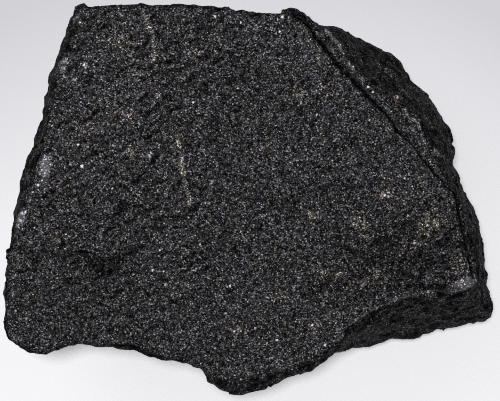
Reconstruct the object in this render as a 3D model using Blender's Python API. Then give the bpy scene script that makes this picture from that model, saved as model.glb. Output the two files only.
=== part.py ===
"""A hand specimen of black basalt, broken to shape with a hammer and resting on a small flat spot.

One solid stone. Its broad upper face is nearly level. On the right a ridge parts that face from a side
that slopes outward, on the lower right a steep side drops from a thin edge, and all round the underside
is drawn in by fracture facets and flake scars. All sizes below are in millimetres, seen from above with
+X to the right and +Y to the back. The finished mesh is in metres.
"""

import itertools
import math
import random

import bmesh
import bpy
import numpy as np
from mathutils import Vector, noise
from mathutils.bvhtree import BVHTree

MM = 0.001

# Driving dimensions
FACE_HEIGHT = 36.0  # mean height of the broad face above the foot
FACE_TILT = (-0.005, 0.006)  # its slope along X and Y
RIM_BAND = 4.0  # least height of the blunt edge where the stone is widest
SHELF_DROP = 0.9  # step down from the ridge to the shelf beside it
SHELF_EDGE = 0.8  # width of that step
SHELF_FALL = 0.18  # fall of the shelf for each millimetre outward
SIDE_BOW = 1.15  # how far the sides bow out on their way down to the outline, 1 being straight
FOOT_CENTRE = (0.5, -1.0)
FOOT_RADII = (18.0, 13.0)
FOOT_RISE = 3.0  # how far the underside has risen one foot radius outside the foot
FOOT_CUT = 1.4  # how much of the lowest lumps is worn off level
WALL_TAPER = 0.16  # how far the walls draw in for each millimetre below the widest height
WALL_HOLLOWS = 2.2  # how deep their larger hollows are
HOLLOW_SIZE = 12.0
HOLLOW_START = 6.0  # how far below the widest height the hollows reach their full depth
WALL_REACH = 12.0  # how far in from the outline the walls reach
SPINE = ((-22.0, 0.0), (24.0, 0.0))  # the line that the walls draw in towards
VOXEL = 0.8
TRIANGLES = 9000
CREASE = 38.0  # edges sharper than this many degrees stay crisp
SEED = 7
SEED_SHIFT = Vector((37.0, 11.0, 5.0))

# The outline from above, clockwise from the back left corner, one side after another. With each side
# goes the height at which the stone is widest there.
BACK = (
    (-37.2, 40.4), (-36.5, 41.0), (-35.5, 41.2), (-31.5, 41.1), (-23.1, 41.1), (-21.0, 40.9),
    (-17.6, 41.3), (-11.5, 41.4), (-9.4, 41.3), (-7.3, 40.8), (-4.2, 40.5), (-2.1, 39.8), (2.5, 39.3),
    (6.3, 39.6), (8.6, 40.2), (9.9, 40.0),
)
SHOULDER = (
    (11.0, 39.7), (12.7, 38.4), (14.4, 37.0), (16.6, 36.4), (19.5, 36.7),
)
RIGHT_BACK = (
    (21.1, 36.9), (21.8, 36.0), (23.0, 35.2), (25.0, 34.7), (26.1, 33.7), (28.4, 32.3), (31.4, 31.0),
    (32.3, 30.1), (33.4, 28.8), (34.5, 26.3), (36.6, 23.9), (37.7, 22.5), (40.1, 20.7), (40.9, 19.0),
    (42.9, 15.5), (43.5, 13.4), (44.0, 9.7), (43.6, 7.6),
)
RIGHT_FRONT = (
    (44.2, 6.1), (45.1, 4.6), (46.4, 0.5), (48.1, -2.7), (49.0, -4.9), (49.4, -7.5), (50.4, -12.0),
    (51.1, -16.9), (52.1, -21.4), (52.5, -23.6), (52.3, -25.3),
)
LOWER_RIGHT = (
    (52.1, -26.5), (50.1, -26.7), (47.9, -26.4), (44.6, -27.8), (41.4, -28.2), (37.0, -29.3),
    (33.1, -30.4), (29.2, -30.8), (26.1, -31.9), (19.8, -32.5),
)
TIP = (
    (18.2, -32.5), (16.9, -33.8), (12.7, -35.8), (8.9, -37.6), (6.3, -38.7), (3.2, -40.3), (1.1, -40.3),
    (-2.1, -41.7), (-3.0, -41.6), (-5.5, -40.4), (-7.8, -39.7), (-8.9, -39.0), (-9.9, -37.1),
)
FRONT_LEFT = (
    (-11.0, -35.5), (-12.0, -34.6), (-14.7, -33.7), (-19.0, -33.4), (-21.5, -32.6), (-24.6, -30.7),
    (-27.0, -30.8), (-29.9, -30.3), (-32.0, -30.9), (-34.3, -30.2), (-37.5, -29.9), (-40.0, -30.8),
    (-42.1, -32.1), (-44.9, -32.4), (-47.2, -31.3), (-49.7, -30.7), (-51.4, -28.8),
)
LEFT = (
    (-51.7, -26.4), (-51.6, -20.7), (-51.2, -15.8), (-50.7, -11.2), (-50.0, -6.3), (-49.6, -2.1),
    (-48.5, 4.3), (-47.4, 8.9), (-46.1, 12.7), (-45.0, 16.1), (-44.2, 19.7), (-43.1, 23.3),
    (-42.1, 26.7), (-40.8, 30.5), (-39.6, 33.9), (-38.3, 37.7),
)
SIDES = (
    (BACK, 34.5), (SHOULDER, 28.0), (RIGHT_BACK, 17.0), (RIGHT_FRONT, 17.0), (LOWER_RIGHT, 10.0),
    (TIP, 30.5), (FRONT_LEFT, 33.0), (LEFT, 27.0),
)
SIDE_BLEND = (1.0, 1.5)  # how softly one side's height gives way to the next: nearness and power

# The rims of the broad face, where it doesn't reach the outline
RIDGE = (
    (9.9, 40.0), (11.1, 38.7), (12.6, 37.4), (14.3, 35.1), (17.4, 31.1), (20.2, 27.8), (23.5, 24.2),
    (26.5, 21.3), (29.0, 18.3), (31.1, 15.2), (34.6, 11.6), (38.2, 7.2), (41.2, 3.8), (43.0, 2.2),
    (44.3, -1.6), (44.9, -4.6), (45.8, -9.4), (47.2, -16.5),
)
SHELF_RIM = (
    (9.9, 40.0), (12.0, 38.5), (14.8, 36.6), (17.6, 34.9), (20.2, 30.5), (22.9, 27.3), (26.3, 23.8),
    (29.2, 22.0), (31.5, 20.6), (33.3, 18.6), (35.8, 16.2), (38.3, 12.5), (40.1, 9.3), (42.2, 5.9),
    (44.2, 1.2), (45.4, -3.0), (46.5, -9.0), (47.6, -16.9),
)
LOWER_RIGHT_RIM = (
    (45.8, -17.8), (43.0, -18.6), (39.9, -19.3), (36.8, -19.5), (33.6, -20.0), (30.9, -20.9),
    (28.3, -22.0), (25.2, -23.3), (22.1, -25.1), (19.9, -27.2), (18.5, -30.4), (15.5, -32.2),
)
TIP_RIM = (
    (10.5, -34.6), (5.0, -36.4), (0.5, -37.4), (-3.5, -38.4), (-6.5, -37.6), (-8.6, -35.6),
)
LEFT_RIM = (
    (-50.8, -6.2), (-49.8, -5.2), (-48.5, -3.1), (-46.6, 1.1), (-45.6, 5.3), (-44.1, 10.6),
    (-43.0, 15.2), (-42.0, 21.1), (-40.7, 26.1), (-39.1, 30.1), (-37.4, 35.8), (-36.3, 40.2),
)

# Swells and hollows of the broad face: centre, half length, half width, bearing of the length in
# degrees, height
SWELLS = (
    ((-24.0, 22.0), 20.0, 15.0, 10.0, 0.5),
    ((-30.5, -14.2), 5.5, 2.2, -8.0, -1.1),
    ((17.0, 0.6), 11.0, 2.8, 3.0, -0.6),
    ((30.0, -5.0), 9.0, 5.0, -35.0, 0.5),
    ((41.0, -8.5), 5.0, 2.6, -25.0, -0.7),
    ((-4.0, -17.0), 9.0, 4.0, 15.0, 0.4),
    ((2.0, 24.0), 9.0, 4.0, -20.0, 0.3),
    ((-12.0, 2.0), 7.0, 4.0, 30.0, -0.3),
    ((-38.0, -24.0), 9.0, 5.0, 0.0, 0.4),
    ((39.5, -18.0), 6.0, 1.6, -6.0, -0.6),
)

# Lumps and hollows of the sloping right side, in the same terms
SIDE_SWELLS = (
    ((32.0, 24.3), 2.8, 1.5, -45.0, 1.3),
    ((29.5, 27.5), 2.6, 1.1, -60.0, 0.8),
    ((34.3, 17.6), 2.8, 1.7, -40.0, 1.0),
    ((37.4, 20.6), 2.2, 1.3, -45.0, 0.9),
    ((41.5, 10.0), 3.4, 1.6, -65.0, 0.8),
    ((26.0, 29.5), 3.4, 1.6, -55.0, -1.4),
    ((30.8, 29.9), 2.2, 1.3, -40.0, -0.9),
    ((28.4, 26.6), 2.2, 1.1, -50.0, -0.8),
    ((32.6, 21.0), 2.0, 1.4, -20.0, -1.3),
    ((37.8, 15.4), 2.4, 1.5, -40.0, -1.1),
)
SIDE_FADES = (1.5, 2.0)  # how far from the side's top and foot they have their full height

# Steps across the broad face: the line of the step, its drop on the front side, and how far in front
# of it the face has risen again
STEPS = (
    (
        (
            (-50.0, 1.5), (-44.0, -1.5), (-39.0, -4.5), (-35.5, -9.5), (-31.0, -12.8), (-27.0, -12.4),
            (-20.0, -9.6),
        ),
        0.85,
        16.0,
    ),
    (
        (
            (6.0, -23.5), (8.4, -21.5), (14.7, -18.2), (21.0, -16.3), (27.0, -14.8), (38.0, -17.4),
            (45.0, -19.0),
        ),
        0.85,
        8.0,
    ),
)
STEP_WIDTH = 1.6
STEP_FADES = (4.0, 6.0)  # how far from its left and right end a step has its full drop
STEP_WAVER = 2.4  # how far the steps waver from their lines
WAVER_SIZE = (4.0, 9.0)  # size of that wavering along X and Y

# Fracture facets under the stone: bearing of the outward side in degrees, distance from the middle and
# height of a line on the facet, and how much it rises for each millimetre outward
FACETS = (
    (-12.0, 51.0, 5.0, 1.2),
    (28.0, 44.5, 8.0, 1.1),
    (55.0, 40.5, 11.0, 1.35),
    (92.0, 39.5, 14.0, 1.6),
    (133.0, 52.0, 15.0, 1.0),
    (168.0, 46.0, 11.0, 1.5),
    (196.0, 49.0, 12.0, 1.15),
    (233.0, 49.0, 12.0, 0.9),
    (262.0, 33.0, 11.0, 1.4),
    (287.0, 37.0, 2.5, 1.1),
    (318.0, 48.0, 1.0, 0.8),
)

# Flake scars round the walls, in rows: height, number, width, depth and tilt of the blow, and how far
# each scar strays from its row's place, height, width, depth, direction and tilt
SCAR_ROWS = (
    (22.0, 13, 21.0, 1.5, -6.0),
    (12.0, 15, 22.0, 1.7, -24.0),
    (5.0, 11, 20.0, 1.3, -46.0),
)
STRAY_PLACE = 0.3  # as a share of the spacing
STRAY_LEVEL = 3.0
STRAY_WIDTH = (0.7, 1.25)  # as shares of the width and of the depth
STRAY_DEPTH = (0.6, 1.3)
STRAY_SWING = 14.0  # in degrees
STRAY_LIFT = 9.0
OUTSIDE = 90.0  # a distance that is clear of the stone on every side
# Bearings between which the walls slope outward and are seen from above, and the height that the
# scars there stay under
OPEN_BEARINGS = (-42.0, 66.0)
OPEN_LIMIT = 9.0
SCAR_START = 5.0  # how far below the widest height the scars reach their full depth
CORNER_LIMIT = 1.5  # the most that a scar takes off a corner, in scar depths
# Scars on the underside: place, width and depth
UNDER_SCARS = (
    ((-27.0, 12.0), 34.0, 1.1),
    ((-24.0, -17.0), 27.0, 1.0),
    ((24.0, 14.0), 31.0, 1.3),
    ((27.0, -15.0), 26.0, 0.9),
    ((2.0, 24.0), 24.0, 0.9),
)

# Roughness of the broken surface: size of the lumps and how far they stand out, largest first. The
# broad face is the smoothest
LUMPS = ((17.0, 1.5), (7.5, 0.9), (3.6, 0.35))
FACE_SHARE = 0.33  # how much of it the broad face has
FACE_UP = 0.8  # how far up a surface looks to count as the broad face
RIM_SHARE = 0.25  # how much of it moves the outline seen from above
RIM_FADES = (4.0, 5.0)  # how far in from the outline, or below it, the roughness is free of that
EDGE_ALLOWANCE = 0.15  # what the even mesh takes off the edges, given back all over


def clear_scene():
    for old in list(bpy.data.objects):
        bpy.data.objects.remove(old)


def distance_to(points, line, closed=False):
    """The plan distance from each point to a line of straight stretches."""
    corners = np.array(line)
    ends = np.roll(corners, -1, axis=0)
    if not closed:
        corners, ends = corners[:-1], ends[:-1]
    nearest = np.full(len(points), np.inf)
    for a, b in zip(corners, ends):
        along = ((points - a) @ (b - a)) / ((b - a) @ (b - a))
        foot = a + np.clip(along, 0.0, 1.0)[:, None] * (b - a)
        nearest = np.minimum(nearest, np.hypot(*(points - foot).T))
    return nearest


def is_inside(points, loop):
    """Which points lie inside a closed loop, by counting the edges to their right."""
    x, y = points.T
    inside = np.zeros(len(points), bool)
    for (ax, ay), (bx, by) in zip(loop, loop[1:] + loop[:1]):
        if ay == by:
            continue
        crosses = (ay > y) != (by > y)
        inside ^= crosses & (x < ax + (y - ay) * (bx - ax) / (by - ay))
    return inside


def smooth_step(value):
    t = np.clip(value, 0.0, 1.0)
    return t * t * (3.0 - 2.0 * t)


def outline():
    return [point for side, height in SIDES for point in side]


def loop_round(right_rim):
    """The loop round the broad face: the outline where the face reaches it, its own rims elsewhere."""
    return list(BACK + right_rim[1:] + LOWER_RIGHT_RIM + TIP_RIM + FRONT_LEFT + LEFT[:4] + LEFT_RIM)


def distance_beyond(points, loop):
    """The distance from a loop to each point outside it, and 0 for those inside."""
    return np.where(is_inside(points, loop), 0.0, distance_to(points, loop, closed=True))


def swell(points, swells):
    """The sum of rounded lumps and hollows at each point."""
    x, y = points.T
    total = np.zeros(len(points))
    for centre, length, width, bearing, rise in swells:
        turn = math.radians(bearing)
        dx, dy = x - centre[0], y - centre[1]
        along = (dx * math.cos(turn) + dy * math.sin(turn)) / length
        across = (dy * math.cos(turn) - dx * math.sin(turn)) / width
        total += rise * np.exp(-(along**2 + across**2))
    return total


def widest_height(points):
    """The height at which the stone is widest, blended between the sides by nearness."""
    near, power = SIDE_BLEND
    weights = [1.0 / (distance_to(points, side) ** 2 + near) ** power for side, height in SIDES]
    heights = [height for side, height in SIDES]
    return sum(w * h for w, h in zip(weights, heights)) / sum(weights)


def broad_face(points):
    """The height of the broad face, with its swells, hollows and steps."""
    x, y = points.T
    height = FACE_HEIGHT + FACE_TILT[0] * x + FACE_TILT[1] * y + swell(points, SWELLS)
    across, back = WAVER_SIZE
    waver = STEP_WAVER * np.array([noise.noise((px / across, py / back, 0.0)) for px, py in points])
    for line, drop, reach in STEPS:
        xs, ys = np.array(line).T
        behind = y - np.interp(x, xs, ys) + waver
        ends = smooth_step((x - xs[0]) / STEP_FADES[0]) * smooth_step((xs[-1] - x) / STEP_FADES[1])
        lower = smooth_step(0.5 - behind / STEP_WIDTH) * (1.0 - smooth_step((-behind - 1.0) / reach))
        height -= drop * ends * lower
    return height


def upper_surface(points):
    """The height of the stone's upper side: the broad face, the shelf beside its ridge, and the sides
    that slope down from them to the outline."""
    beyond_face = distance_beyond(points, loop_round(RIDGE))
    beyond_shelf = distance_beyond(points, loop_round(SHELF_RIM))
    to_outline = distance_to(points, outline(), closed=True)
    on_shelf = np.clip(beyond_face - beyond_shelf, 0.0, None)
    height = broad_face(points) - SHELF_DROP * smooth_step(on_shelf / SHELF_EDGE) - SHELF_FALL * on_shelf
    down = beyond_shelf / np.maximum(beyond_shelf + to_outline, 0.01)
    height += (widest_height(points) - height) * down**SIDE_BOW
    on_side = smooth_step(beyond_shelf / SIDE_FADES[0]) * smooth_step(to_outline / SIDE_FADES[1])
    return height + swell(points, SIDE_SWELLS) * on_side


def lower_surface(points):
    """The height of the underside: the worn middle with the foot, and the facets that rise from it."""
    x, y = points.T
    out = np.hypot((x - FOOT_CENTRE[0]) / FOOT_RADII[0], (y - FOOT_CENTRE[1]) / FOOT_RADII[1])
    height = FOOT_RISE * (out - 1.0)
    for bearing, distance, level, rise in FACETS:
        turn = math.radians(bearing)
        outward = x * math.cos(turn) + y * math.sin(turn)
        height = np.maximum(height, level + (outward - distance) * rise)
    return height


def read_points(mesh):
    flat = np.empty(len(mesh.vertices) * 3, np.float64)
    mesh.vertices.foreach_get("co", flat)
    return flat.reshape(-1, 3) / MM


def write_points(mesh, points):
    mesh.vertices.foreach_set("co", (points * MM).ravel())
    mesh.update()


def read_normals(mesh):
    flat = np.empty(len(mesh.vertices) * 3, np.float64)
    mesh.vertices.foreach_get("normal", flat)
    return flat.reshape(-1, 3)


def slab():
    """A plain slab with the outline of the stone, as thick as the broad face is high."""
    build = bmesh.new()
    corners = [build.verts.new((x * MM, y * MM, 0.0)) for x, y in outline()]
    face = build.faces.new(corners)
    raised = bmesh.ops.extrude_face_region(build, geom=[face])["geom"]
    top = [item for item in raised if isinstance(item, bmesh.types.BMVert)]
    bmesh.ops.translate(build, verts=top, vec=(0.0, 0.0, FACE_HEIGHT * MM))
    bmesh.ops.recalc_face_normals(build, faces=build.faces)
    mesh = bpy.data.meshes.new("basalt_rock")
    build.to_mesh(mesh)
    build.free()
    stone = bpy.data.objects.new("basalt_rock", mesh)
    bpy.context.scene.collection.objects.link(stone)
    return stone


def finish_modifiers(stone):
    """Gives the stone the mesh that its modifiers make, and removes them."""
    graph = bpy.context.evaluated_depsgraph_get()
    finished = bpy.data.meshes.new_from_object(stone.evaluated_get(graph))
    old = stone.data
    stone.modifiers.clear()
    stone.data = finished
    bpy.data.meshes.remove(old)
    finished.name = stone.name


def even_out(stone, size):
    """Covers the stone with an even mesh of this edge length."""
    remesh = stone.modifiers.new("even skin", "REMESH")
    remesh.mode = "VOXEL"
    remesh.voxel_size = size * MM
    remesh.adaptivity = 0.0
    finish_modifiers(stone)


def raise_faces(stone):
    """Moves the slab's points to between the underside and the upper side."""
    points = read_points(stone.data)
    plan = points[:, :2]
    upper = upper_surface(plan)
    lower = np.minimum(lower_surface(plan), upper - RIM_BAND)
    share = np.clip(points[:, 2] / FACE_HEIGHT, 0.0, 1.0)
    points[:, 2] = lower + (upper - lower) * share
    write_points(stone.data, points)


def draw_in_walls(stone):
    """Draws the walls in below the widest height, towards the spine, and gives them broad hollows."""
    points = read_points(stone.data)
    plan = points[:, :2]
    below = np.clip(widest_height(plan) - points[:, 2], 0.0, None)
    near_wall = 1.0 - smooth_step(distance_to(plan, outline(), closed=True) / WALL_REACH)
    (start, level), (end, level) = SPINE
    inward = np.column_stack((np.clip(plan[:, 0], start, end), np.full(len(plan), level))) - plan
    inward /= np.linalg.norm(inward, axis=1)[:, None] + 0.01
    hollows = np.array([noise.noise(Vector(point) / HOLLOW_SIZE + SEED_SHIFT) for point in points])
    amount = below * WALL_TAPER + WALL_HOLLOWS * (0.5 + hollows) * smooth_step(below / HOLLOW_START)
    points[:, :2] += inward * (np.clip(amount, 0.0, None) * near_wall)[:, None]
    write_points(stone.data, points)


def scar(points, struck, blow, width, depth):
    """Hollows the points round a struck place to a shallow part of a large sphere.

    The scars run out below the widest height, so that they leave the outline as it is, and a corner
    that stands far into the sphere keeps most of its reach."""
    radius = (width**2 / 4.0 + depth**2) / (2.0 * depth)
    centre = np.array(struck + blow * (radius - depth))
    away = points - centre
    far = np.linalg.norm(away, axis=1)
    push = np.clip(radius - far, 0.0, CORNER_LIMIT * depth)
    below = widest_height(points[:, :2]) - points[:, 2]
    points += away * (push * smooth_step(below / SCAR_START) / far)[:, None]


def wall_blows():
    """The blows round the walls: start, direction from the stone, width and depth of the scar."""
    dice = random.Random(SEED)
    low, high = OPEN_BEARINGS
    for row, (height, count, width, depth, tilt) in enumerate(SCAR_ROWS):
        for turn in range(count):
            place = turn + 0.5 * row + dice.uniform(-STRAY_PLACE, STRAY_PLACE)
            bearing = place * 360.0 / count
            level = height + dice.uniform(-STRAY_LEVEL, STRAY_LEVEL)
            across = width * dice.uniform(*STRAY_WIDTH)
            deep = depth * dice.uniform(*STRAY_DEPTH)
            swing = dice.uniform(-STRAY_SWING, STRAY_SWING)
            lift = math.radians(tilt + dice.uniform(-STRAY_LIFT, STRAY_LIFT))
            if low < (bearing + 180.0) % 360.0 - 180.0 < high and level > OPEN_LIMIT:
                continue
            out = Vector((math.cos(math.radians(bearing)), math.sin(math.radians(bearing)), 0.0))
            facing = math.radians(bearing + swing)
            blow = Vector((math.cos(facing), math.sin(facing), math.tan(lift))).normalized()
            yield out * OUTSIDE + Vector((0.0, 0.0, level)), -out, blow, across, deep


def strike_flakes(stone):
    """Hollows the walls and the underside where flakes came off."""
    points = read_points(stone.data)
    triangles = [tuple(face.vertices) for face in stone.data.polygons]
    up = Vector((0.0, 0.0, 1.0))
    under = ((Vector((x, y, -OUTSIDE)), up, -up, width, depth) for (x, y), width, depth in UNDER_SCARS)
    tree = BVHTree.FromPolygons(points.tolist(), triangles)
    for start, aim, blow, width, depth in itertools.chain(wall_blows(), under):
        struck = tree.ray_cast(start, aim)[0]
        scar(points, struck, blow, width, depth)
    write_points(stone.data, points)


def roughen(stone):
    """Gives the broken surface its lumps, and leaves the outline seen from above nearly as it is."""
    points = read_points(stone.data)
    normals = read_normals(stone.data)
    edge = distance_to(points[:, :2], outline(), closed=True)
    below = widest_height(points[:, :2]) - points[:, 2]
    free = np.maximum(smooth_step(edge / RIM_FADES[0]), smooth_step(below / RIM_FADES[1]))
    amount = np.zeros(len(points))
    for size, height in LUMPS:
        spots = (Vector(point) / size + SEED_SHIFT for point in points)
        amount += height * np.array([noise.noise(spot) for spot in spots])
    on_face = smooth_step(normals[:, 2] / FACE_UP)
    move = normals * (amount * (1.0 + (FACE_SHARE - 1.0) * on_face))[:, None]
    move[:, :2] *= (RIM_SHARE + (1.0 - RIM_SHARE) * free)[:, None]
    write_points(stone.data, points + move + normals * EDGE_ALLOWANCE)


def drop_crumbs(stone):
    """Keeps the largest body, without the crumbs that a thin lip leaves."""
    build = bmesh.new()
    build.from_mesh(stone.data)
    left = set(build.verts)
    bodies = []
    while left:
        body = set()
        reached = {left.pop()}
        while reached:
            body |= reached
            reached = {edge.other_vert(v) for v in reached for edge in v.link_edges} - body
        left -= body
        bodies.append(body)
    bodies.sort(key=len)
    crumbs = [v for body in bodies[:-1] for v in body]
    bmesh.ops.delete(build, geom=crumbs, context="VERTS")
    build.to_mesh(stone.data)
    build.free()


def thin_out(stone, triangles):
    """Keeps the edges and lumps with far fewer faces."""
    stone.modifiers.new("triangles", "TRIANGULATE")
    finish_modifiers(stone)
    thinner = stone.modifiers.new("fewer faces", "DECIMATE")
    thinner.ratio = triangles / len(stone.data.polygons)
    thinner.use_collapse_triangulate = True
    finish_modifiers(stone)


def cut_foot(stone):
    """Cuts the lowest lumps off level, which makes the small flat spot, and sets it at height 0."""
    build = bmesh.new()
    build.from_mesh(stone.data)
    lowest = min(v.co.z for v in build.verts)
    bmesh.ops.translate(build, verts=build.verts, vec=(0.0, 0.0, -lowest - FOOT_CUT * MM))
    whole = build.verts[:] + build.edges[:] + build.faces[:]
    cut = bmesh.ops.bisect_plane(
        build, geom=whole, plane_co=(0.0, 0.0, 0.0), plane_no=(0.0, 0.0, -1.0), clear_outer=True
    )["geom_cut"]
    rim = [item for item in cut if isinstance(item, bmesh.types.BMEdge)]
    bmesh.ops.holes_fill(build, edges=rim, sides=0)
    bmesh.ops.triangulate(build, faces=[face for face in build.faces if len(face.verts) > 3])
    bmesh.ops.recalc_face_normals(build, faces=build.faces)
    build.to_mesh(stone.data)
    build.free()


def centre_on_foot(stone):
    """Puts the middle of the stone's box over the origin."""
    points = read_points(stone.data)
    middle = (points.min(axis=0) + points.max(axis=0)) / 2.0
    points[:, :2] -= middle[:2]
    write_points(stone.data, points)


def basalt():
    """Dense black basalt, fresh broken: dark grey, dull, with a faint violet cast."""
    material = bpy.data.materials.new("basalt")
    material.use_nodes = True
    shader = material.node_tree.nodes["Principled BSDF"]
    shader.inputs["Base Color"].default_value = (0.036, 0.034, 0.036, 1.0)
    shader.inputs["Roughness"].default_value = 0.62
    shader.inputs["Metallic"].default_value = 0.0
    return material


clear_scene()
rock = slab()
even_out(rock, VOXEL)
raise_faces(rock)
even_out(rock, VOXEL)
draw_in_walls(rock)
strike_flakes(rock)
even_out(rock, VOXEL)
drop_crumbs(rock)
roughen(rock)
thin_out(rock, TRIANGLES)
cut_foot(rock)
centre_on_foot(rock)
rock.data.materials.append(basalt())
rock.data.shade_smooth()
rock.data.set_sharp_from_angle(angle=math.radians(CREASE))
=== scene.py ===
import math

import bmesh
import bpy
import numpy as np
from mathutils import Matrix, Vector, noise


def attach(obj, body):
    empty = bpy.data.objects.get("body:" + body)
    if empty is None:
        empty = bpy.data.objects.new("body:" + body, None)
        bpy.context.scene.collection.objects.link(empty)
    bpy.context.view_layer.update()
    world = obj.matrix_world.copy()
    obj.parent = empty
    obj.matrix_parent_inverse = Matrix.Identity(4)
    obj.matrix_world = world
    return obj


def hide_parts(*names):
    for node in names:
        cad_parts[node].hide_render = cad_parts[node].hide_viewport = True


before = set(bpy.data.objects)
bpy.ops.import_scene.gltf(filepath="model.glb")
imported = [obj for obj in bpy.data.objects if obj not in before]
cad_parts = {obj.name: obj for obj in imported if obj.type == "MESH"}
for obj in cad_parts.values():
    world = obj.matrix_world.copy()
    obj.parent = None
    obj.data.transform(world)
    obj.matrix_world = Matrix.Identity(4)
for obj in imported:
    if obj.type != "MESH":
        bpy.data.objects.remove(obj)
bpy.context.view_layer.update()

# The stone's body. One piece of dense, fine-grained black basalt, broken to shape with a hammer. Its mesh
# starts from the solid, is covered with an even skin and made twice as fine where the broad face is seen.
# All sizes of the stone are in millimetres, +X to the right and +Y to the back, seen from above.
MM = 0.001
SAME_CORNER = 0.001  # corners nearer to each other than this are one
SKIN = 0.74  # spacing of the mesh on the walls and the underside
SOFTEN = 2  # rounds of smoothing, which take the flat triangles out of the solid's surface
SOFTEN_BY = 0.5
UPPER = 0.30  # how far up a face looks to count as part of the upper side


def finished_mesh(piece):
    """The mesh that the piece's modifiers make."""
    graph = bpy.context.evaluated_depsgraph_get()
    return bpy.data.meshes.new_from_object(piece.evaluated_get(graph))


def stone_body():
    """A copy of the solid with an even skin."""
    build = bmesh.new()
    build.from_mesh(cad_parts["basalt_rock"].data)
    bmesh.ops.remove_doubles(build, verts=build.verts, dist=SAME_CORNER * MM)
    mesh = bpy.data.meshes.new("basalt_stone")
    build.to_mesh(mesh)
    build.free()
    piece = bpy.data.objects.new("basalt_stone", mesh)
    bpy.context.scene.collection.objects.link(piece)
    skin = piece.modifiers.new("skin", "REMESH")
    skin.mode = "VOXEL"
    skin.voxel_size = SKIN * MM
    covered = finished_mesh(piece)
    piece.modifiers.clear()
    piece.data = covered
    bpy.data.meshes.remove(mesh)
    covered.name = "basalt_stone"
    return piece


def refine(piece):
    """Softens the skin and makes it twice as fine on the upper side."""
    build = bmesh.new()
    build.from_mesh(piece.data)
    for _ in range(SOFTEN):
        bmesh.ops.smooth_vert(
            build, verts=build.verts, factor=SOFTEN_BY, use_axis_x=True, use_axis_y=True, use_axis_z=True
        )
    build.normal_update()
    upper = [edge for edge in build.edges if any(face.normal.z > UPPER for face in edge.link_faces)]
    bmesh.ops.subdivide_edges(build, edges=upper, cuts=1, use_grid_fill=True, smooth=0.0)
    # Where fine meets coarse, faces with more than four corners are left
    bmesh.ops.triangulate(build, faces=[face for face in build.faces if len(face.verts) > 4])
    build.to_mesh(piece.data)
    build.free()


stone = stone_body()
refine(stone)

# The broken surface. Basalt breaks into small planes, each tilted its own way, with ledges between them
# and grains standing out of them. The mesh is pushed in and out along its own directions, and the marks
# that the finish follows are written to it as attributes.
SEED_SHIFT = Vector((19.0, 43.0, 7.0))  # the part of the noise that this stone uses
TILT_SEED = 3
TILT_STEP = 7.3  # takes the tilts of neighbouring planes from places far apart in the noise
noise.seed_set(TILT_SEED)

# Planes of breakage: their size, and their tilt
COARSE_PLANES = (5.2, 0.11)
MIDDLE_PLANES = (2.3, 0.16)
FINE_PLANES = (1.1, 0.18)
FINE_STRETCH = (0.8, 1.2, 1.0)  # the fine planes are longer from left to right
COARSE_FLATTER_UP = 0.6
MIDDLE_FLATTER_UP = 0.2
MIDDLE_FLATTER_WALL = 0.3
FINE_FLATTER_WALL = 0.6
FINE_STEEPER_LOWER_RIGHT = 0.9

# Smooth noise: the size of its lumps, and a layer of its own
GRIT = (0.9, 0.0)
WALL_LUMPS = (2.4, 11.0)
LINE_WAVER = (2.5, 5.0)
EDGE_GAPS = (1.6, 8.0)
CREST_GAPS = (1.3, 9.0)
LEDGE_SWAY = (7.0, 1.0)
LEDGE_NICKS = (2.4, 2.0)
LEDGE_GAPS = (5.0, 3.0)
GRIT_HEIGHT = 0.09
WALL_LUMP_HEIGHT = 0.4
# How far the lines and marks stray from their drawn places. The other wavers are shares of it.
WAVER = 0.35


def read_points(mesh):
    flat = np.empty(len(mesh.vertices) * 3, np.float64)
    mesh.vertices.foreach_get("co", flat)
    return flat.reshape(-1, 3) / MM


def write_points(mesh, points):
    mesh.vertices.foreach_set("co", (points * MM).ravel())
    mesh.update()


def read_normals(mesh):
    flat = np.empty(len(mesh.vertices) * 3, np.float64)
    mesh.vertices.foreach_get("normal", flat)
    return flat.reshape(-1, 3)


def mark(mesh, name, values):
    attribute = mesh.attributes.new(name, "FLOAT", "POINT")
    attribute.data.foreach_set("value", values.astype(np.float32))


def smooth_step(value):
    """0 up to 0, 1 from 1 on, and a smooth rise between them."""
    t = np.clip(value, 0.0, 1.0)
    return t * t * (3.0 - 2.0 * t)


def fade_in(value, start, over):
    """0 up to the start, and 1 from this much beyond it."""
    return smooth_step((value - start) / over)


def fade_out(value, end, over):
    """0 from the end on, and 1 up to this much before it."""
    return smooth_step((end - value) / over)


def no_less(least, share):
    """The share, raised so that it is nowhere less than this."""
    return least + (1.0 - least) * share


def hump(distance, half_width):
    """1 in the middle, fading out smoothly to both sides."""
    return np.exp(-((distance / half_width) ** 2))


def waves(points, size, layer):
    """Smooth seeded noise from about -1 to 1, with lumps of this size."""
    shift = SEED_SHIFT + Vector((0.0, layer, 0.0))
    return np.array([noise.noise(Vector(point) / size + shift) for point in points])


def patchy(points, lumps, contrast, level):
    """Smooth noise made into patches that are mostly 0 or 1."""
    return smooth_step(contrast * waves(points, *lumps) + level)


def breaks(points, size, tilt):
    """Small planes of breakage, one to a cell of this size, each tilted its own way."""
    rise = np.empty(len(points))
    for i, point in enumerate(points):
        at = Vector(point) / size + SEED_SHIFT
        middle = noise.voronoi(at)[1][0]
        slope = noise.noise_vector(middle * TILT_STEP).normalized()
        rise[i] = (at - middle).dot(slope)
    return rise * size * tilt


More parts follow.
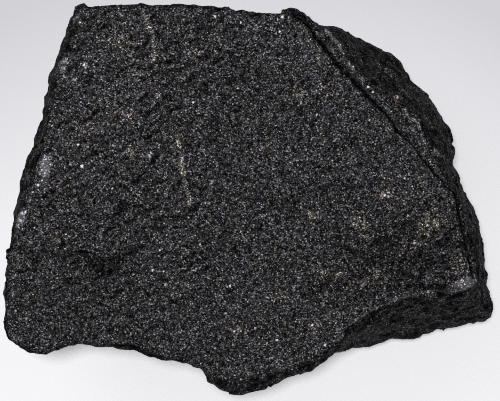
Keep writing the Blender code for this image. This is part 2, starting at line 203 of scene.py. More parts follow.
def beside(plan, line):
    """For each point seen from above: its distance from the line, which side it is on (+1 to the right of
    the way the line runs) and how far along the line it lies."""
    corners = np.array(line)
    nearest = np.full(len(plan), np.inf)
    side = np.zeros(len(plan))
    along = np.zeros(len(plan))
    start = 0.0
    for a, b in zip(corners, corners[1:]):
        run = b - a
        length = math.hypot(*run)
        share = np.clip((plan - a) @ run / length**2, 0.0, 1.0)
        off = plan - (a + share[:, None] * run)
        far = np.hypot(*off.T)
        closer = far < nearest
        nearest = np.where(closer, far, nearest)
        side = np.where(closer, np.sign(off[:, 0] * run[1] - off[:, 1] * run[0]), side)
        along = np.where(closer, start + share * length, along)
        start += length
    return nearest, side, along


def lines(plan, runs, half_width):
    """How strongly each point lies on one of the lines."""
    most = np.zeros(len(plan))
    for run in runs:
        far, _, _ = beside(plan, run)
        most = np.maximum(most, hump(far, half_width))
    return most


def spot(plan, centre, length, width, bearing):
    """How strongly each point lies in an oval mark: its centre, half length, half width and bearing."""
    turn = math.radians(bearing)
    dx, dy = plan[:, 0] - centre[0], plan[:, 1] - centre[1]
    along = (dx * math.cos(turn) + dy * math.sin(turn)) / length
    across = (dy * math.cos(turn) - dx * math.sin(turn)) / width
    return np.exp(-(along**2 + across**2))


def spots(plan, marks):
    """How strongly each point lies in the nearest of the oval marks."""
    most = np.zeros(len(plan))
    for oval in marks:
        most = np.maximum(most, spot(plan, *oval))
    return most


# The lines on the stone, each a row of points seen from above. The groove parts the broad face from the
# side at the right, and the crushed edge and the third ridge run beyond it.
GROOVE = (
    (9.6, 39.6), (12.3, 37.5), (14.0, 35.2), (15.5, 33.1), (17.2, 31.2), (18.6, 29.1), (20.7, 27.0),
    (22.8, 24.7), (24.9, 22.6), (27.0, 20.5), (29.1, 18.0), (31.2, 14.8), (34.4, 11.7), (37.9, 7.3),
    (40.9, 3.9), (42.8, 2.2), (44.0, -1.6), (44.7, -4.5), (45.5, -9.3), (47.0, -16.5),
)
GROOVE_DEPTH = 0.7
GROOVE_MIDDLE = 0.3  # how far beyond its line the groove lies
GROOVE_MIDDLE_MOVES = 0.3  # how much further beyond it lies in its upper part
GROOVE_HALF_WIDTH = 0.27
GROOVE_WIDENS = 0.37  # how much wider its upper part is
GROOVE_LOWER_SHARE = 0.85  # how strong its lower part is beside the upper
GROOVE_UPPER_END = 38.0  # how far along the line the upper part ends, and over what length
GROOVE_UPPER_FADE = 18.0
CREST_MIDDLE = 0.5  # the crest on the near side of the groove
CREST_HALF_WIDTH = 0.34
CREST_HEIGHT = 0.2
# Painted highlight along the crest
CREST_PAINTED_HIGHLIGHT = 0.7
CRUSHED_EDGE = (
    (15.5, 36.2), (18.2, 33.3), (19.7, 29.9), (21.1, 27.8), (23.2, 25.7), (25.3, 23.6), (26.2, 22.8),
    (29.1, 19.0), (31.6, 17.1), (35.4, 13.8), (37.5, 11.3), (39.0, 9.2), (40.9, 7.5), (42.1, 6.0),
)
CRUSHED_HALF_WIDTH = 0.36
CRUSHED_HEIGHT = 0.35
CRUSHED_FADE_END = 17.0  # how far along the line it has faded to a half, and over what length
CRUSHED_FADE = 5.0
CRUSHED_FAR_SHARE = 0.5
CRUSHED_GAP_SHARE = 0.3  # what is left of it in its gaps
CRUSHED_WAVER = 0.3
THIRD_RIDGE = (
    (29.1, 23.2), (30.8, 21.8), (32.3, 19.0), (34.4, 16.9), (36.5, 14.2), (38.6, 10.6), (40.7, 8.5),
)
THIRD_HALF_WIDTH = 0.5
THIRD_HEIGHT = 0.3
THIRD_WAVER = 0.4
THIRD_WHITE = 0.45
THIRD_PALE = 0.6
LOWER_RIGHT_EDGE = (
    (18.2, -30.3), (19.7, -27.2), (21.8, -25.1), (24.9, -23.2), (28.1, -21.9), (30.6, -20.9),
    (33.3, -19.9), (36.5, -19.4), (39.6, -19.2), (42.8, -18.6), (45.5, -17.7), (47.0, -16.5),
)
LOWER_RIGHT_HALF_WIDTH = 0.4
LOWER_RIGHT_GAP_SHARE = 0.45
LOWER_RIGHT_WAVER = 0.3
LOWER_RIGHT_WHITE = 0.6
VEINS = (
    ((-22.9, 39.6), (-20.8, 35.2), (-20.2, 29.5)),
    ((-15.6, 13.8), (-15.0, 11.7), (-14.1, 3.7), (-12.9, -0.5)),
)
VEIN_HALF_WIDTH = 0.46
VEIN_HEIGHT = 0.10
VEIN_WAVER = 0.8  # of the cracks too
CRACKS = (
    ((-12.9, 2.6), (-10.8, 0.8), (-7.6, -3.0)),
    ((-7.6, 1.8), (-3.4, 1.2), (2.2, 0.1), (10.2, -0.3)),
    ((3.5, -12.9), (7.1, -18.8)),
)
CRACK_HALF_WIDTH = 0.3
CRACK_DEPTH = 0.15
# Painted shade in the cracks
CRACK_PAINTED_SHADE = 0.5

# Ledges run across the broad face, rising to the right, strongest on its left half, with painted shade at
# their feet
LEDGE_BEARING = 20.0
LEDGE_PITCH = 2.9
LEDGE_DROP = 0.42
LEDGE_FOOT_HALF_WIDTH = 0.32
LEDGE_SWAY_BY = 3.2
LEDGE_NICK_BY = 1.2
LEDGE_FOOT_PAINTED_SHADE = 0.95
LEDGE_RIGHT_SHARE = 0.35
LEDGE_FRONT_SHARE = 0.45

# Hollows of the broad face, with painted shade in them, and broad spots of painted shade: centre, half
# length, half width, bearing, depth
HOLLOWS = (
    ((-33.6, -12.6), 3.6, 1.3, -47.0, 0.5),
    ((-27.2, -12.0), 4.6, 1.4, 30.0, 0.5),
    ((-31.0, -14.5), 2.2, 1.6, 0.0, 0.5),
    ((-43.5, -12.0), 6.5, 3.2, -10.0, 0.2),
    ((-33.0, -20.0), 7.0, 2.4, -5.0, 0.15),
    ((42.3, -8.3), 3.0, 1.5, -30.0, 0.45),
    ((39.0, -18.6), 6.5, 0.9, -4.0, 0.5),
    ((16.5, 2.6), 10.5, 1.4, 3.0, 0.2),
    ((15.0, -17.8), 5.0, 1.2, 25.0, 0.25),
    ((25.0, -15.2), 4.5, 1.1, 12.0, 0.25),
    ((-3.0, 30.2), 1.4, 1.0, 0.0, 0.45),
    ((-16.6, 25.5), 1.0, 0.8, 0.0, 0.35),
    ((-3.4, 25.3), 1.6, 0.8, 0.0, 0.3),
    ((-8.5, 12.5), 2.2, 0.8, 15.0, 0.25),
    ((3.0, -38.5), 3.5, 1.2, 20.0, 0.3),
    ((31.0, -11.0), 13.0, 9.0, 0.0, 0.3),
    ((-34.0, -24.0), 13.0, 6.0, 0.0, 0.08),
)
# A hollow's painted shade is darkest at this depth
HOLLOW_FULL_SHADE_DEPTH = 0.5  # the depth at which a hollow is darkest
# Small pits between the lumps at the lower right, with painted shade in them: centre, half length, half
# width, bearing, depth
PITS = (
    ((39.6, -12.9), 1.7, 0.9, 10.0, 0.4),
    ((34.8, -11.9), 1.6, 0.8, 35.0, 0.38),
    ((32.3, -15.6), 2.3, 0.8, -20.0, 0.38),
    ((43.8, -4.6), 3.2, 0.8, -72.0, 0.4),
    ((41.3, -16.3), 1.9, 0.6, 10.0, 0.35),
    ((28.6, -8.6), 1.7, 0.7, -35.0, 0.3),
    ((25.3, -12.6), 1.8, 0.7, 20.0, 0.3),
    ((20.5, -10.5), 1.5, 0.7, -30.0, 0.28),
    ((32.0, -5.2), 1.5, 0.7, 40.0, 0.28),
    ((36.0, -15.0), 1.2, 0.6, 60.0, 0.3),
    ((40.6, -9.4), 1.3, 0.6, -20.0, 0.3),
)
# A pit's painted shade is darkest at this depth
PIT_FULL_SHADE_DEPTH = 0.4
HOLLOW_WAVER = 0.9
# Lumps and notches of the upper right rim: centre, half length, half width, bearing, height
RIM_LUMPS = (
    ((18.4, 36.2), 2.4, 1.3, -12.0, 0.7),
    ((24.3, 32.6), 1.2, 1.2, 0.0, -0.4),
    ((31.0, 29.4), 2.0, 1.3, -35.0, 0.45),
    ((34.0, 25.8), 1.2, 1.2, 0.0, -0.4),
    ((37.6, 22.2), 1.7, 1.3, -50.0, 0.5),
    ((42.4, 14.0), 3.0, 1.3, -75.0, 0.4),
    ((42.9, 7.6), 1.1, 1.1, 0.0, -0.5),
)

# Marks of colour alone. Crushed whitish bruises: centre, half length, half width, bearing
BRUISES = (
    ((44.6, -18.0), 3.4, 1.5, 22.0),
    ((-43.3, 6.8), 1.2, 3.0, -12.0),
    ((-48.6, -3.7), 1.0, 2.0, -20.0),
    ((-39.5, 28.5), 0.9, 1.6, -15.0),
    ((-34.9, 28.5), 0.6, 0.6, 0.0),
    ((-36.6, 37.9), 0.9, 0.9, 0.0),
    ((-37.0, 25.5), 0.55, 0.55, 0.0),
    ((46.9, -6.4), 1.6, 0.35, -75.0),
)
# Painted light on the broad face, which makes these parts a little paler: centre, half length, half width,
# bearing
PAINTED_LIGHT_SPOTS = (
    ((-30.0, 22.0), 17.0, 17.0, 0.0),
    ((-40.0, 4.0), 10.0, 12.0, 0.0),
    ((0.0, 34.0), 16.0, 6.0, 0.0),
)
PAINTED_LIGHT_BY = 0.3
# Clusters of paler, faintly olive grains: centre, half length, half width, bearing, strength
MOTTLES = (
    ((-25.9, 18.0), 1.1, 0.8, 0.0, 0.9), ((-25.7, 10.2), 0.9, 0.7, 0.0, 0.8),
    ((-34.3, 15.2), 1.6, 1.0, 30.0, 0.5), ((-19.6, 22.0), 1.2, 0.4, -50.0, 1.0),
    ((-21.7, 9.4), 1.0, 0.8, 0.0, 0.5), ((10.2, 22.4), 1.3, 0.8, 20.0, 0.9),
    ((14.6, 24.1), 1.0, 0.7, -40.0, 1.0), ((14.2, 30.6), 1.4, 0.4, 85.0, 1.0),
    ((13.0, -3.0), 1.7, 0.8, -25.0, 0.9), ((22.8, -4.9), 1.8, 1.0, -20.0, 1.2),
    ((24.0, -7.5), 1.5, 0.6, -50.0, 0.7), ((37.4, -5.2), 2.2, 1.6, 30.0, 1.5),
    ((33.8, -9.3), 1.3, 1.0, 0.0, 1.3), ((28.1, 1.6), 1.4, 1.1, 0.0, 1.2),
    ((15.5, -14.8), 1.2, 0.6, 0.0, 1.0), ((18.4, -15.6), 1.2, 0.7, 15.0, 0.7),
    ((26.4, -15.2), 1.2, 1.0, 0.0, 0.7), ((23.5, -17.3), 1.0, 0.6, 0.0, 0.8),
    ((43.6, -14.4), 1.3, 1.5, 0.0, 0.6), ((29.8, -1.3), 1.2, 1.0, 0.0, 0.5),
    ((13.4, -26.2), 0.9, 0.7, 0.0, 1.0), ((36.0, 3.0), 1.4, 0.8, -40.0, 0.6),
    ((3.5, 12.0), 1.4, 0.8, 60.0, 0.4), ((-3.0, -27.0), 1.6, 1.0, 0.0, 0.5),
    ((-16.0, -20.0), 1.4, 0.9, 20.0, 0.4), ((6.0, -20.0), 1.5, 0.9, 0.0, 0.5),
    ((-40.0, -8.0), 1.5, 0.8, 10.0, 0.5), ((-12.0, 31.0), 1.5, 0.9, 0.0, 0.5),
    ((-27.0, 33.5), 1.6, 1.0, -20.0, 0.6), ((29.6, 27.0), 1.0, 0.7, -40.0, 0.9),
    ((31.7, 24.1), 1.3, 0.9, -50.0, 1.0), ((37.5, 21.1), 1.0, 0.8, -50.0, 0.9),
    ((35.4, 17.6), 1.6, 0.6, -50.0, 0.8), ((30.8, 21.8), 0.8, 0.6, 0.0, 1.0),
)
# Single bright grains: where each lies, and its half width
SPARKS = (
    ((37.1, -5.1), 0.4), ((28.1, 1.2), 0.45), ((32.3, 4.7), 0.35), ((34.4, -8.9), 0.4),
    ((-4.5, -17.9), 0.4), ((-2.8, 23.6), 0.35), ((6.0, 35.6), 0.4), ((-7.6, 38.8), 0.35),
    ((-2.2, 37.5), 0.35), ((0.8, -26.8), 0.35), ((5.4, -29.3), 0.4), ((12.8, -26.1), 0.4),
    ((15.5, -30.3), 0.45), ((-35.6, 7.3), 0.5), ((-10.8, -9.1), 0.4), ((-9.7, -0.5), 0.35),
    ((-20.8, -14.6), 0.4), ((-19.2, -10.4), 0.35), ((-36.4, 11.8), 0.4), ((-29.2, 2.6), 0.35),
    ((-44.8, 3.3), 0.4), ((-44.0, 4.3), 0.3), ((-46.0, 1.8), 0.3), ((-47.5, -2.4), 0.35),
    ((-48.6, -4.1), 0.4), ((-48.2, -5.8), 0.3), ((-43.6, 7.9), 0.3), ((-12.2, 20.7), 0.4),
    ((6.5, 38.6), 0.4), ((13.8, 18.0), 0.35), ((24.9, 16.9), 0.35), ((-18.4, -14.9), 0.35),
    ((-18.1, -17.6), 0.35), ((-31.9, -15.2), 0.35), ((21.4, 28.2), 0.35), ((24.6, 24.0), 0.4),
    ((25.6, 22.9), 0.35), ((19.4, 31.0), 0.3),
)
DIP_ROUNDS = 2  # rounds in which each point's dip is mixed with its neighbours' dips
DIP_OWN = 0.4
DIP_NEIGHBOURS = 0.6
DIP_MOST = 2.5


def ledges(points, plan):
    """Broken ledges: the height they add and how near each point is to the foot of one."""
    turn = math.radians(LEDGE_BEARING)
    back = plan[:, 1] * math.cos(turn) - plan[:, 0] * math.sin(turn)
    back += LEDGE_SWAY_BY * waves(points, *LEDGE_SWAY) + LEDGE_NICK_BY * waves(points, *LEDGE_NICKS)
    phase = (back / LEDGE_PITCH) % 1.0
    left_half = no_less(LEDGE_RIGHT_SHARE, fade_out(plan[:, 0], end=8.0, over=22.0))
    back_part = no_less(LEDGE_FRONT_SHARE, fade_in(plan[:, 1], start=-26.0, over=14.0))
    shown = patchy(points, LEDGE_GAPS, contrast=2.2, level=0.55) * left_half * back_part
    foot = hump(((phase + 0.5) % 1.0 - 0.5) * LEDGE_PITCH, LEDGE_FOOT_HALF_WIDTH)
    return LEDGE_DROP * (0.5 - phase) * shown, foot * shown


def dips(mesh):
    """How far each point lies in a dip, as a share of the usual roughness: above 0 in crevices, below 0 on
    crests."""
    points, normals = read_points(mesh), read_normals(mesh)
    ends = np.empty(len(mesh.edges) * 2, np.int32)
    mesh.edges.foreach_get("vertices", ends)
    first, second = ends.reshape(-1, 2).T
    step = points[second] - points[first]
    step /= np.linalg.norm(step, axis=1)[:, None]
    rise = np.bincount(first, (step * normals[first]).sum(axis=1), len(points))
    rise -= np.bincount(second, (step * normals[second]).sum(axis=1), len(points))
    around = np.bincount(ends, minlength=len(points))
    rise /= around
    for _ in range(DIP_ROUNDS):
        near = np.bincount(first, rise[second], len(points))
        near = near + np.bincount(second, rise[first], len(points))
        rise = DIP_OWN * rise + DIP_NEIGHBOURS * near / around
    return rise / rise.std()


def break_surface(piece):
    """Pushes the relief into the mesh and writes the marks that the finish follows."""
    points = read_points(piece.data)
    normals = read_normals(piece.data)
    plan = points[:, :2]
    # How much each point belongs to the upper side and to the walls, and how clear it is of the foot
    up = fade_in(normals[:, 2], start=0.1, over=0.6)
    wall = 1.0 - fade_in(normals[:, 2], start=0.74, over=0.2)
    from_foot = fade_in(points[:, 2], start=0.2, over=1.5)
    lower_right = fade_in(plan[:, 0], start=8.0, over=20.0) * fade_out(plan[:, 1], end=4.0, over=12.0)

    rise = breaks(points, *COARSE_PLANES) * (1.0 - COARSE_FLATTER_UP * up)
    middle = breaks(points, *MIDDLE_PLANES) * (1.0 - MIDDLE_FLATTER_UP * up)
    rise += middle * (1.0 - MIDDLE_FLATTER_WALL * wall)
    fine = breaks(points * FINE_STRETCH, *FINE_PLANES) * (1.0 + FINE_STEEPER_LOWER_RIGHT * lower_right)
    rise += fine * (1.0 - FINE_FLATTER_WALL * wall)
    rise += GRIT_HEIGHT * waves(points, *GRIT) + WALL_LUMP_HEIGHT * waves(points, *WALL_LUMPS) * wall
    step, ledge = ledges(points, plan)
    rise += step * up
    ledge *= up

    far, side, along = beside(plan, GROOVE)
    waver = WAVER * waves(points, *LINE_WAVER)
    beyond = far * side + waver
    upper_part = fade_out(along, end=GROOVE_UPPER_END, over=GROOVE_UPPER_FADE)
    off_middle = beyond - GROOVE_MIDDLE - GROOVE_MIDDLE_MOVES * upper_part
    groove = hump(off_middle, GROOVE_HALF_WIDTH + GROOVE_WIDENS * upper_part) * up
    groove *= no_less(GROOVE_LOWER_SHARE, upper_part)
    crest = hump(beyond + CREST_MIDDLE, CREST_HALF_WIDTH) * up
    crest *= patchy(points, CREST_GAPS, contrast=1.8, level=0.2)
    rise += CREST_HEIGHT * crest - GROOVE_DEPTH * groove
    broken = patchy(points, EDGE_GAPS, contrast=1.6, level=0.45)
    far, _, along = beside(plan + CRUSHED_WAVER * waver[:, None], CRUSHED_EDGE)
    crushed = hump(far, CRUSHED_HALF_WIDTH) * up * no_less(CRUSHED_GAP_SHARE, broken)
    crushed *= no_less(CRUSHED_FAR_SHARE, fade_out(along, end=CRUSHED_FADE_END, over=CRUSHED_FADE))
    third = lines(plan + THIRD_WAVER * waver[:, None], (THIRD_RIDGE,), THIRD_HALF_WIDTH) * broken
    rise += CRUSHED_HEIGHT * crushed + THIRD_HEIGHT * third

    strayed = plan + VEIN_WAVER * waver[:, None]
    pale_streak = lines(strayed, VEINS, VEIN_HALF_WIDTH) * up
    crack = lines(strayed, CRACKS, CRACK_HALF_WIDTH) * up
    rise += VEIN_HEIGHT * pale_streak - CRACK_DEPTH * crack
    strayed = plan + LOWER_RIGHT_WAVER * waver[:, None]
    low_edge = lines(strayed, (LOWER_RIGHT_EDGE,), LOWER_RIGHT_HALF_WIDTH)
    low_edge *= no_less(LOWER_RIGHT_GAP_SHARE, broken)

    strayed = plan + HOLLOW_WAVER * waver[:, None]
    # Painted shade in the hollows and pits, besides their depth
    painted_light_and_shade = np.zeros(len(plan))
    for *oval, depth in HOLLOWS:
        there = spot(strayed, *oval) * up
        painted_light_and_shade = np.maximum(painted_light_and_shade, there * depth / HOLLOW_FULL_SHADE_DEPTH)
        rise -= there * depth
    for *oval, depth in PITS:
        there = spot(strayed, *oval) * up
        painted_light_and_shade += there * depth / PIT_FULL_SHADE_DEPTH
        rise -= there * depth
    # Painted light on the upper left of the broad face
    painted_light_and_shade -= PAINTED_LIGHT_BY * spots(plan, PAINTED_LIGHT_SPOTS) * up
    for *oval, height in RIM_LUMPS:
        rise += height * spot(plan, *oval)
    write_points(piece.data, points + normals * (rise * from_foot)[:, None])

    bruise = spots(plan, BRUISES) * up
    mottle = np.zeros(len(plan))
    for *oval, strength in MOTTLES:
        mottle = np.maximum(mottle, strength * spot(plan + waver[:, None], *oval))
    spark = spots(plan, [(centre, size, size, 0.0) for centre, size in SPARKS])
    whitened = np.maximum(np.maximum(crushed, THIRD_WHITE * third), LOWER_RIGHT_WHITE * low_edge)
    # The pale lines: the vein, a painted highlight along the crest and the paler third ridge
    pale_lines_and_highlight = np.maximum(pale_streak, np.maximum(CREST_PAINTED_HIGHLIGHT * crest, THIRD_PALE * third))
    # Painted shade in the groove, in the cracks and at the feet of the ledges
    dark = groove * (1.0 - crushed) + CRACK_PAINTED_SHADE * crack + LEDGE_FOOT_PAINTED_SHADE * ledge
    mark(piece.data, "dip", np.clip(dips(piece.data), -DIP_MOST, DIP_MOST))
    mark(piece.data, "bruise", np.maximum(bruise, whitened))
    mark(piece.data, "pale_streak", pale_lines_and_highlight)
    mark(piece.data, "dark", np.clip(dark, 0.0, 1.0))
    mark(piece.data, "wall", wall)
    # Painted shade of the hollows and pits, and painted light on the paler parts
    mark(piece.data, "painted_light_and_shade", painted_light_and_shade)
    mark(piece.data, "mottle", mottle * up)
    mark(piece.data, "spark", spark * up)


break_surface(stone)
stone.data.shade_smooth()

# Its finish: a fine mosaic of dark grains with narrow gaps painted black as shade, and scattered pale and
# olive grains. The rims have crushed whitish bruises, and the walls a thin brownish film under painted
# shade. Bright and dark follow the marks, which also carry painted light and shade.
GRAIN = 0.24  # spacing of the grains
GRAIN_TONES = ((0.0, 0.004), (0.3, 0.02), (0.6, 0.065), (0.83, 0.15), (0.95, 0.34), (1.0, 0.75))
GRAIN_TINTS = ((0.0, (1.0, 0.96, 1.05)), (0.5, (0.95, 0.96, 1.12)), (0.8, (1.08, 1.0, 0.88)))
STIR_SIZE = 0.45  # the grains are stirred a little, so that none is round
STIR = 0.12
# A SPAN is a range of chance or noise, and SHADES are what the colour is multiplied by at its two ends
SPECK = 0.55  # spacing of the places where a speck may lie
SPECK_RIM = (0.30, 0.42)  # where its edge lies, as a share of the spacing
PALE_SPAN = (0.90, 0.99)
OLIVE_SPAN = (0.91, 0.98)
OLIVE_MOST = 0.8
PALE_SPECK = (0.62, 0.62, 0.64, 1.0)
OLIVE_SPECK = (0.34, 0.32, 0.19, 1.0)
# Painted shade in the gaps and tiny holes between the grains
GAP = 0.5  # spacing of the dark gaps
GAP_SPAN = (0.0, 0.14)
GAP_PAINTED_SHADES = (0.2, 1.0)
HOLE = 0.36
HOLE_SPAN = (0.36, 0.56)
HOLE_PAINTED_SHADES = (0.45, 1.1)
PATCH = 2.2
PATCH_SPAN = (0.3, 0.7)
PATCH_SHADES = (0.9, 1.12)
# Painted shade in the dips of the relief and painted light on its crests
DIP_SHADE_TONES = ((0.0, 0.56), (0.5, 0.51), (0.66, 0.42), (0.8, 0.17), (1.0, 0.03))
DIP_SHADE_GAIN = 1.47
FILM_SPAN = (0.4, 0.6)
FILM_SHARES = (0.3, 1.0)
# The walls' film is darkened further by painted shade
FILM_AND_SHADE_DARKENS = 0.09
FILM_TINT = (1.12, 0.97, 0.93)
MOTTLE_TINT = (3.3, 3.15, 2.7)
RAGGED = 0.5
RAGGED_SPAN = (0.1, 0.36)
# What is whitened: by which mark, how much white is added, and the tint
# The second mark holds the vein and also a painted highlight along the crest
WHITENED_MARKS = (("bruise", 0.06, (3.0, 3.0, 3.2)), ("pale_streak", 0.02, (2.7, 2.6, 2.3)))
SPARK_SPAN = (0.5, 0.72)
BRIGHT_GRAIN = (0.75, 0.76, 0.78, 1.0)
# Painted shade of the groove, the cracks and the ledge feet
CREASE_PAINTED_SHADES = (1.0, 0.12)
# Painted shade of the hollows and pits, and painted light on the paler parts
PAINTED_HOLLOW_AND_PALER_SHADES = (1.6, 0.4)
DULLNESS = (0.85, 0.45)  # roughness of the dullest and the glossiest grains
GLOSS = 0.02
BUMP = 0.06  # height of the grains
BUMP_STRENGTH = 0.6


def add(tree, kind, inputs, **settings):
    """A shader node with its inputs, each a number, a colour or another node's output."""
    made = tree.nodes.new("ShaderNode" + kind)
    for name, value in settings.items():
        setattr(made, name, value)
    for name, value in inputs.items():
        if isinstance(value, bpy.types.NodeSocket):
            tree.links.new(value, made.inputs[name])
        else:
            made.inputs[name].default_value = value
    return made


def ramp(tree, factor, stops, interpolation="LINEAR"):
    """The colour for each value of the factor."""
    made = add(tree, "ValToRGB", {"Fac": factor})
    elements = made.color_ramp.elements
    made.color_ramp.interpolation = interpolation
    elements.remove(elements[0])
    elements[0].position = stops[0][0]
    for place, colour in stops[1:]:
        elements.new(place)
    for element, (place, colour) in zip(elements, stops):
        level = colour if isinstance(colour, tuple) else (colour, colour, colour)
        element.color = (*level, 1.0)
    return made.outputs["Color"]


def fit(tree, value, span, onto=(0.0, 1.0)):
    """The value moved from one range onto another, and kept inside it."""
    ranges = {1: span[0], 2: span[1], 3: onto[0], 4: onto[1]}
    return add(tree, "MapRange", {"Value": value, **ranges}).outputs[0]


def times(tree, first, second):
    return add(tree, "Math", {0: first, 1: second}, operation="MULTIPLY").outputs[0]


def scaled(tree, colour, factor):
    return add(tree, "VectorMath", {0: colour, "Scale": factor}, operation="SCALE").outputs[0]


def tinted(tree, colour, tint):
    return add(tree, "VectorMath", {0: colour, 1: tint}, operation="MULTIPLY").outputs[0]


def over(tree, factor, under, top):
    """One colour laid over another."""
    return add(tree, "Mix", {0: factor, 6: under, 7: top}, data_type="RGBA").outputs[2]


def noise_at(tree, place, size, detail=2.0):
    """Smooth noise with lumps of this size."""
    return add(tree, "TexNoise", {"Vector": place, "Scale": 1.0 / (size * MM), "Detail": detail}).outputs


def basalt_finish():
    material = bpy.data.materials.new("basalt_stone")
    material.use_nodes = True
    tree = material.node_tree
    shader = tree.nodes["Principled BSDF"]
    place = add(tree, "TexCoord", {}).outputs["Object"]
    marks = {
        name: add(tree, "Attribute", {}, attribute_name=name).outputs["Fac"]
        for name in ("bruise", "pale_streak", "dark", "painted_light_and_shade", "wall", "spark", "dip", "mottle")
    }

    stir = noise_at(tree, place, STIR_SIZE)["Color"]
    stir = add(tree, "VectorMath", {0: stir, 1: (0.5, 0.5, 0.5)}, operation="SUBTRACT").outputs[0]
    stir = scaled(tree, stir, STIR * MM)
    stirred = add(tree, "VectorMath", {0: place, 1: stir}, operation="ADD").outputs[0]

    grain = add(tree, "TexVoronoi", {"Vector": stirred, "Scale": 1.0 / (GRAIN * MM)})
    chance = add(tree, "SeparateColor", {"Color": grain.outputs["Color"]}).outputs
    colour = ramp(tree, chance["Red"], GRAIN_TONES)
    colour = tinted(tree, colour, ramp(tree, chance["Green"], GRAIN_TINTS, "CONSTANT"))

    # A speck stands in the middle of its cell, and few cells have one
    speck = add(tree, "TexVoronoi", {"Vector": stirred, "Scale": 1.0 / (SPECK * MM)})
    luck = add(tree, "SeparateColor", {"Color": speck.outputs["Color"]}).outputs
    small = fit(tree, speck.outputs["Distance"], SPECK_RIM, onto=(1.0, 0.0))
    pale = times(tree, small, fit(tree, luck["Red"], PALE_SPAN))
    olive = times(tree, small, fit(tree, luck["Green"], OLIVE_SPAN, onto=(0.0, OLIVE_MOST)))
    colour = over(tree, pale, colour, PALE_SPECK)
    colour = over(tree, olive, colour, OLIVE_SPECK)

    # Painted shade in the gaps and tiny holes between the grains, and slow patches of lighter and darker
    # tone
    spacing = {"Vector": stirred, "Scale": 1.0 / (GAP * MM)}
    cell = add(tree, "TexVoronoi", spacing, feature="DISTANCE_TO_EDGE")
    gap_shade = fit(tree, cell.outputs["Distance"], GAP_SPAN, onto=GAP_PAINTED_SHADES)
    hole_shade = fit(tree, noise_at(tree, place, HOLE)["Fac"], HOLE_SPAN, onto=HOLE_PAINTED_SHADES)
    patch = fit(tree, noise_at(tree, place, PATCH, 5.0)["Fac"], PATCH_SPAN, onto=PATCH_SHADES)
    relief = times(tree, gap_shade, hole_shade)
    colour = scaled(tree, colour, times(tree, relief, patch))
    # Painted shade in the dips and painted light on the crests, from how deep each point lies
    shade = ramp(tree, fit(tree, marks["dip"], (-DIP_MOST, DIP_MOST)), DIP_SHADE_TONES)
    colour = scaled(tree, colour, times(tree, shade, DIP_SHADE_GAIN))

    # The brownish film of the walls, darkened further with painted shade
    film_and_shade = fit(tree, noise_at(tree, place, PATCH, 4.0)["Fac"], FILM_SPAN, onto=FILM_SHARES)
    film_and_shade = times(tree, marks["wall"], film_and_shade)
    colour = over(tree, film_and_shade, colour, tinted(tree, scaled(tree, colour, FILM_AND_SHADE_DARKENS), FILM_TINT))
    colour = over(tree, marks["mottle"], colour, tinted(tree, colour, MOTTLE_TINT))

    ragged = noise_at(tree, place, RAGGED, 3.0)["Fac"]
    for name, white_added, tint in WHITENED_MARKS:
        power = fit(tree, times(tree, marks[name], ragged), RAGGED_SPAN)
        white = {0: colour, 1: tint, 2: (white_added, white_added, white_added)}
        whitened = add(tree, "VectorMath", white, operation="MULTIPLY_ADD").outputs[0]
        colour = over(tree, power, colour, whitened)
    colour = over(tree, fit(tree, marks["spark"], SPARK_SPAN), colour, BRIGHT_GRAIN)
    # Painted shade of the groove, the cracks and the ledge feet
    colour = scaled(tree, colour, fit(tree, marks["dark"], (0.0, 1.0), onto=CREASE_PAINTED_SHADES))
    # Painted shade of the hollows and pits, and painted light on the paler parts
    colour = scaled(tree, colour, fit(tree, marks["painted_light_and_shade"], (-1.0, 1.0), onto=PAINTED_HOLLOW_AND_PALER_SHADES))
    tree.links.new(colour, shader.inputs["Base Color"])

    tree.links.new(fit(tree, chance["Blue"], (0.0, 1.0), onto=DULLNESS), shader.inputs["Roughness"])
    shader.inputs["Specular IOR Level"].default_value = GLOSS
    height = add(tree, "Math", {0: relief, 1: chance["Red"]}, operation="ADD").outputs[0]
    bump = add(tree, "Bump", {"Height": height, "Strength": BUMP_STRENGTH, "Distance": BUMP * MM})
    tree.links.new(bump.outputs["Normal"], shader.inputs["Normal"])
    return material


stone.data.materials.clear()
stone.data.materials.append(basalt_finish())
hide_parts("basalt_rock")
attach(stone, "root")

# The floor that the stone rests on: plain pale paper, a flat sheet with painted light that is brightest in
# front of the stone and painted shade that grows slowly away from there
PAPER_HALF = 1500.0
PAPER_DULLNESS = 0.9
PAPER_PAINTED_LIGHT_CENTRE = (0.0, -60.0, 0.0)
# The painted light falls off over these distances from its brightest place
PAPER_SPAN = (30.0, 170.0)  # the distances from the lightest place over which the tone changes
PAPER_PAINTED_FALLOFF_TONES = (
    (0.0, (0.97, 0.96, 0.99)),
    (0.32, (0.94, 0.93, 0.96)),
    (0.6, (0.67, 0.66, 0.69)),
    (1.0, (0.6, 0.59, 0.62)),
)


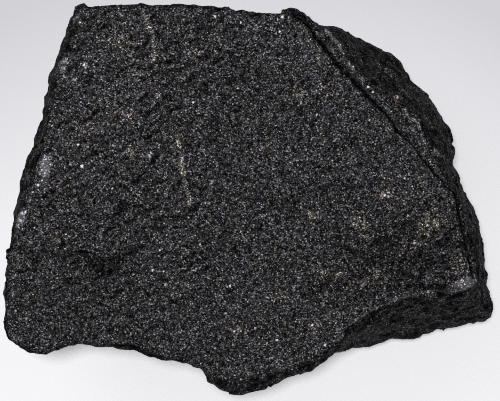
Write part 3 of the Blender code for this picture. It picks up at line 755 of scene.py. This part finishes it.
def paper_floor():
    build = bmesh.new()
    bmesh.ops.create_grid(build, x_segments=1, y_segments=1, size=PAPER_HALF * MM)
    mesh = bpy.data.meshes.new("paper")
    build.to_mesh(mesh)
    build.free()
    paper = bpy.data.objects.new("paper", mesh)
    bpy.context.scene.collection.objects.link(paper)
    material = bpy.data.materials.new("paper")
    material.use_nodes = True
    tree = material.node_tree
    shader = tree.nodes["Principled BSDF"]
    place = add(tree, "TexCoord", {}).outputs["Object"]
    light_centre = [part * MM for part in PAPER_PAINTED_LIGHT_CENTRE]
    away = add(tree, "VectorMath", {0: place, 1: light_centre}, operation="DISTANCE").outputs["Value"]
    shade = fit(tree, away, [distance * MM for distance in PAPER_SPAN])
    # Painted light falloff across the paper
    tree.links.new(ramp(tree, shade, PAPER_PAINTED_FALLOFF_TONES), shader.inputs["Base Color"])
    shader.inputs["Roughness"].default_value = PAPER_DULLNESS
    shader.inputs["Specular IOR Level"].default_value = 0.0
    mesh.materials.append(material)
    return paper


paper_floor()


# The light: a soft overhead lamp close to the camera, a weaker one from the upper left that brings out
# the relief, and a little even light from all round
SKY_STRENGTH = 0.16


def soft_lamp(name, strength, spread, aim):
    """A lamp so far away that its light is even, spread over this many degrees of the sky."""
    lamp = bpy.data.lights.new(name, "SUN")
    lamp.energy = strength
    lamp.angle = math.radians(spread)
    holder = bpy.data.objects.new(name, lamp)
    holder.rotation_euler = Vector(aim).to_track_quat("-Z", "Y").to_euler()
    bpy.context.scene.collection.objects.link(holder)


soft_lamp("overhead_lamp", strength=2.4, spread=10.0, aim=(0.04, -0.04, -1.0))
soft_lamp("upper_left_lamp", strength=0.35, spread=35.0, aim=(0.8, -0.8, -1.0))
sky = bpy.data.worlds.new("soft_sky")
sky.use_nodes = True
sky.node_tree.nodes["Background"].inputs["Color"].default_value = (1.0, 1.0, 1.0, 1.0)
sky.node_tree.nodes["Background"].inputs["Strength"].default_value = SKY_STRENGTH
bpy.context.scene.world = sky

# The camera looks straight down on the stone through a long lens, from 736 mm above the floor. The pixel
# filter is narrow and the denoiser off, because both would smear the grains, which are a pixel wide.
SENSOR = 36.0
LENS = 240.0
EYE = (-0.27, 0.07, 736.0)
FILTER = 1.0


def overhead_camera():
    lens = bpy.data.cameras.new("overhead")
    lens.sensor_width = SENSOR
    lens.lens = LENS
    eye = bpy.data.objects.new("overhead", lens)
    eye.location = [part * MM for part in EYE]
    bpy.context.scene.collection.objects.link(eye)
    bpy.context.scene.camera = eye


overhead_camera()
bpy.context.scene.view_settings.view_transform = "Standard"
bpy.context.scene.cycles.filter_width = FILTER
bpy.context.scene.cycles.use_denoising = False
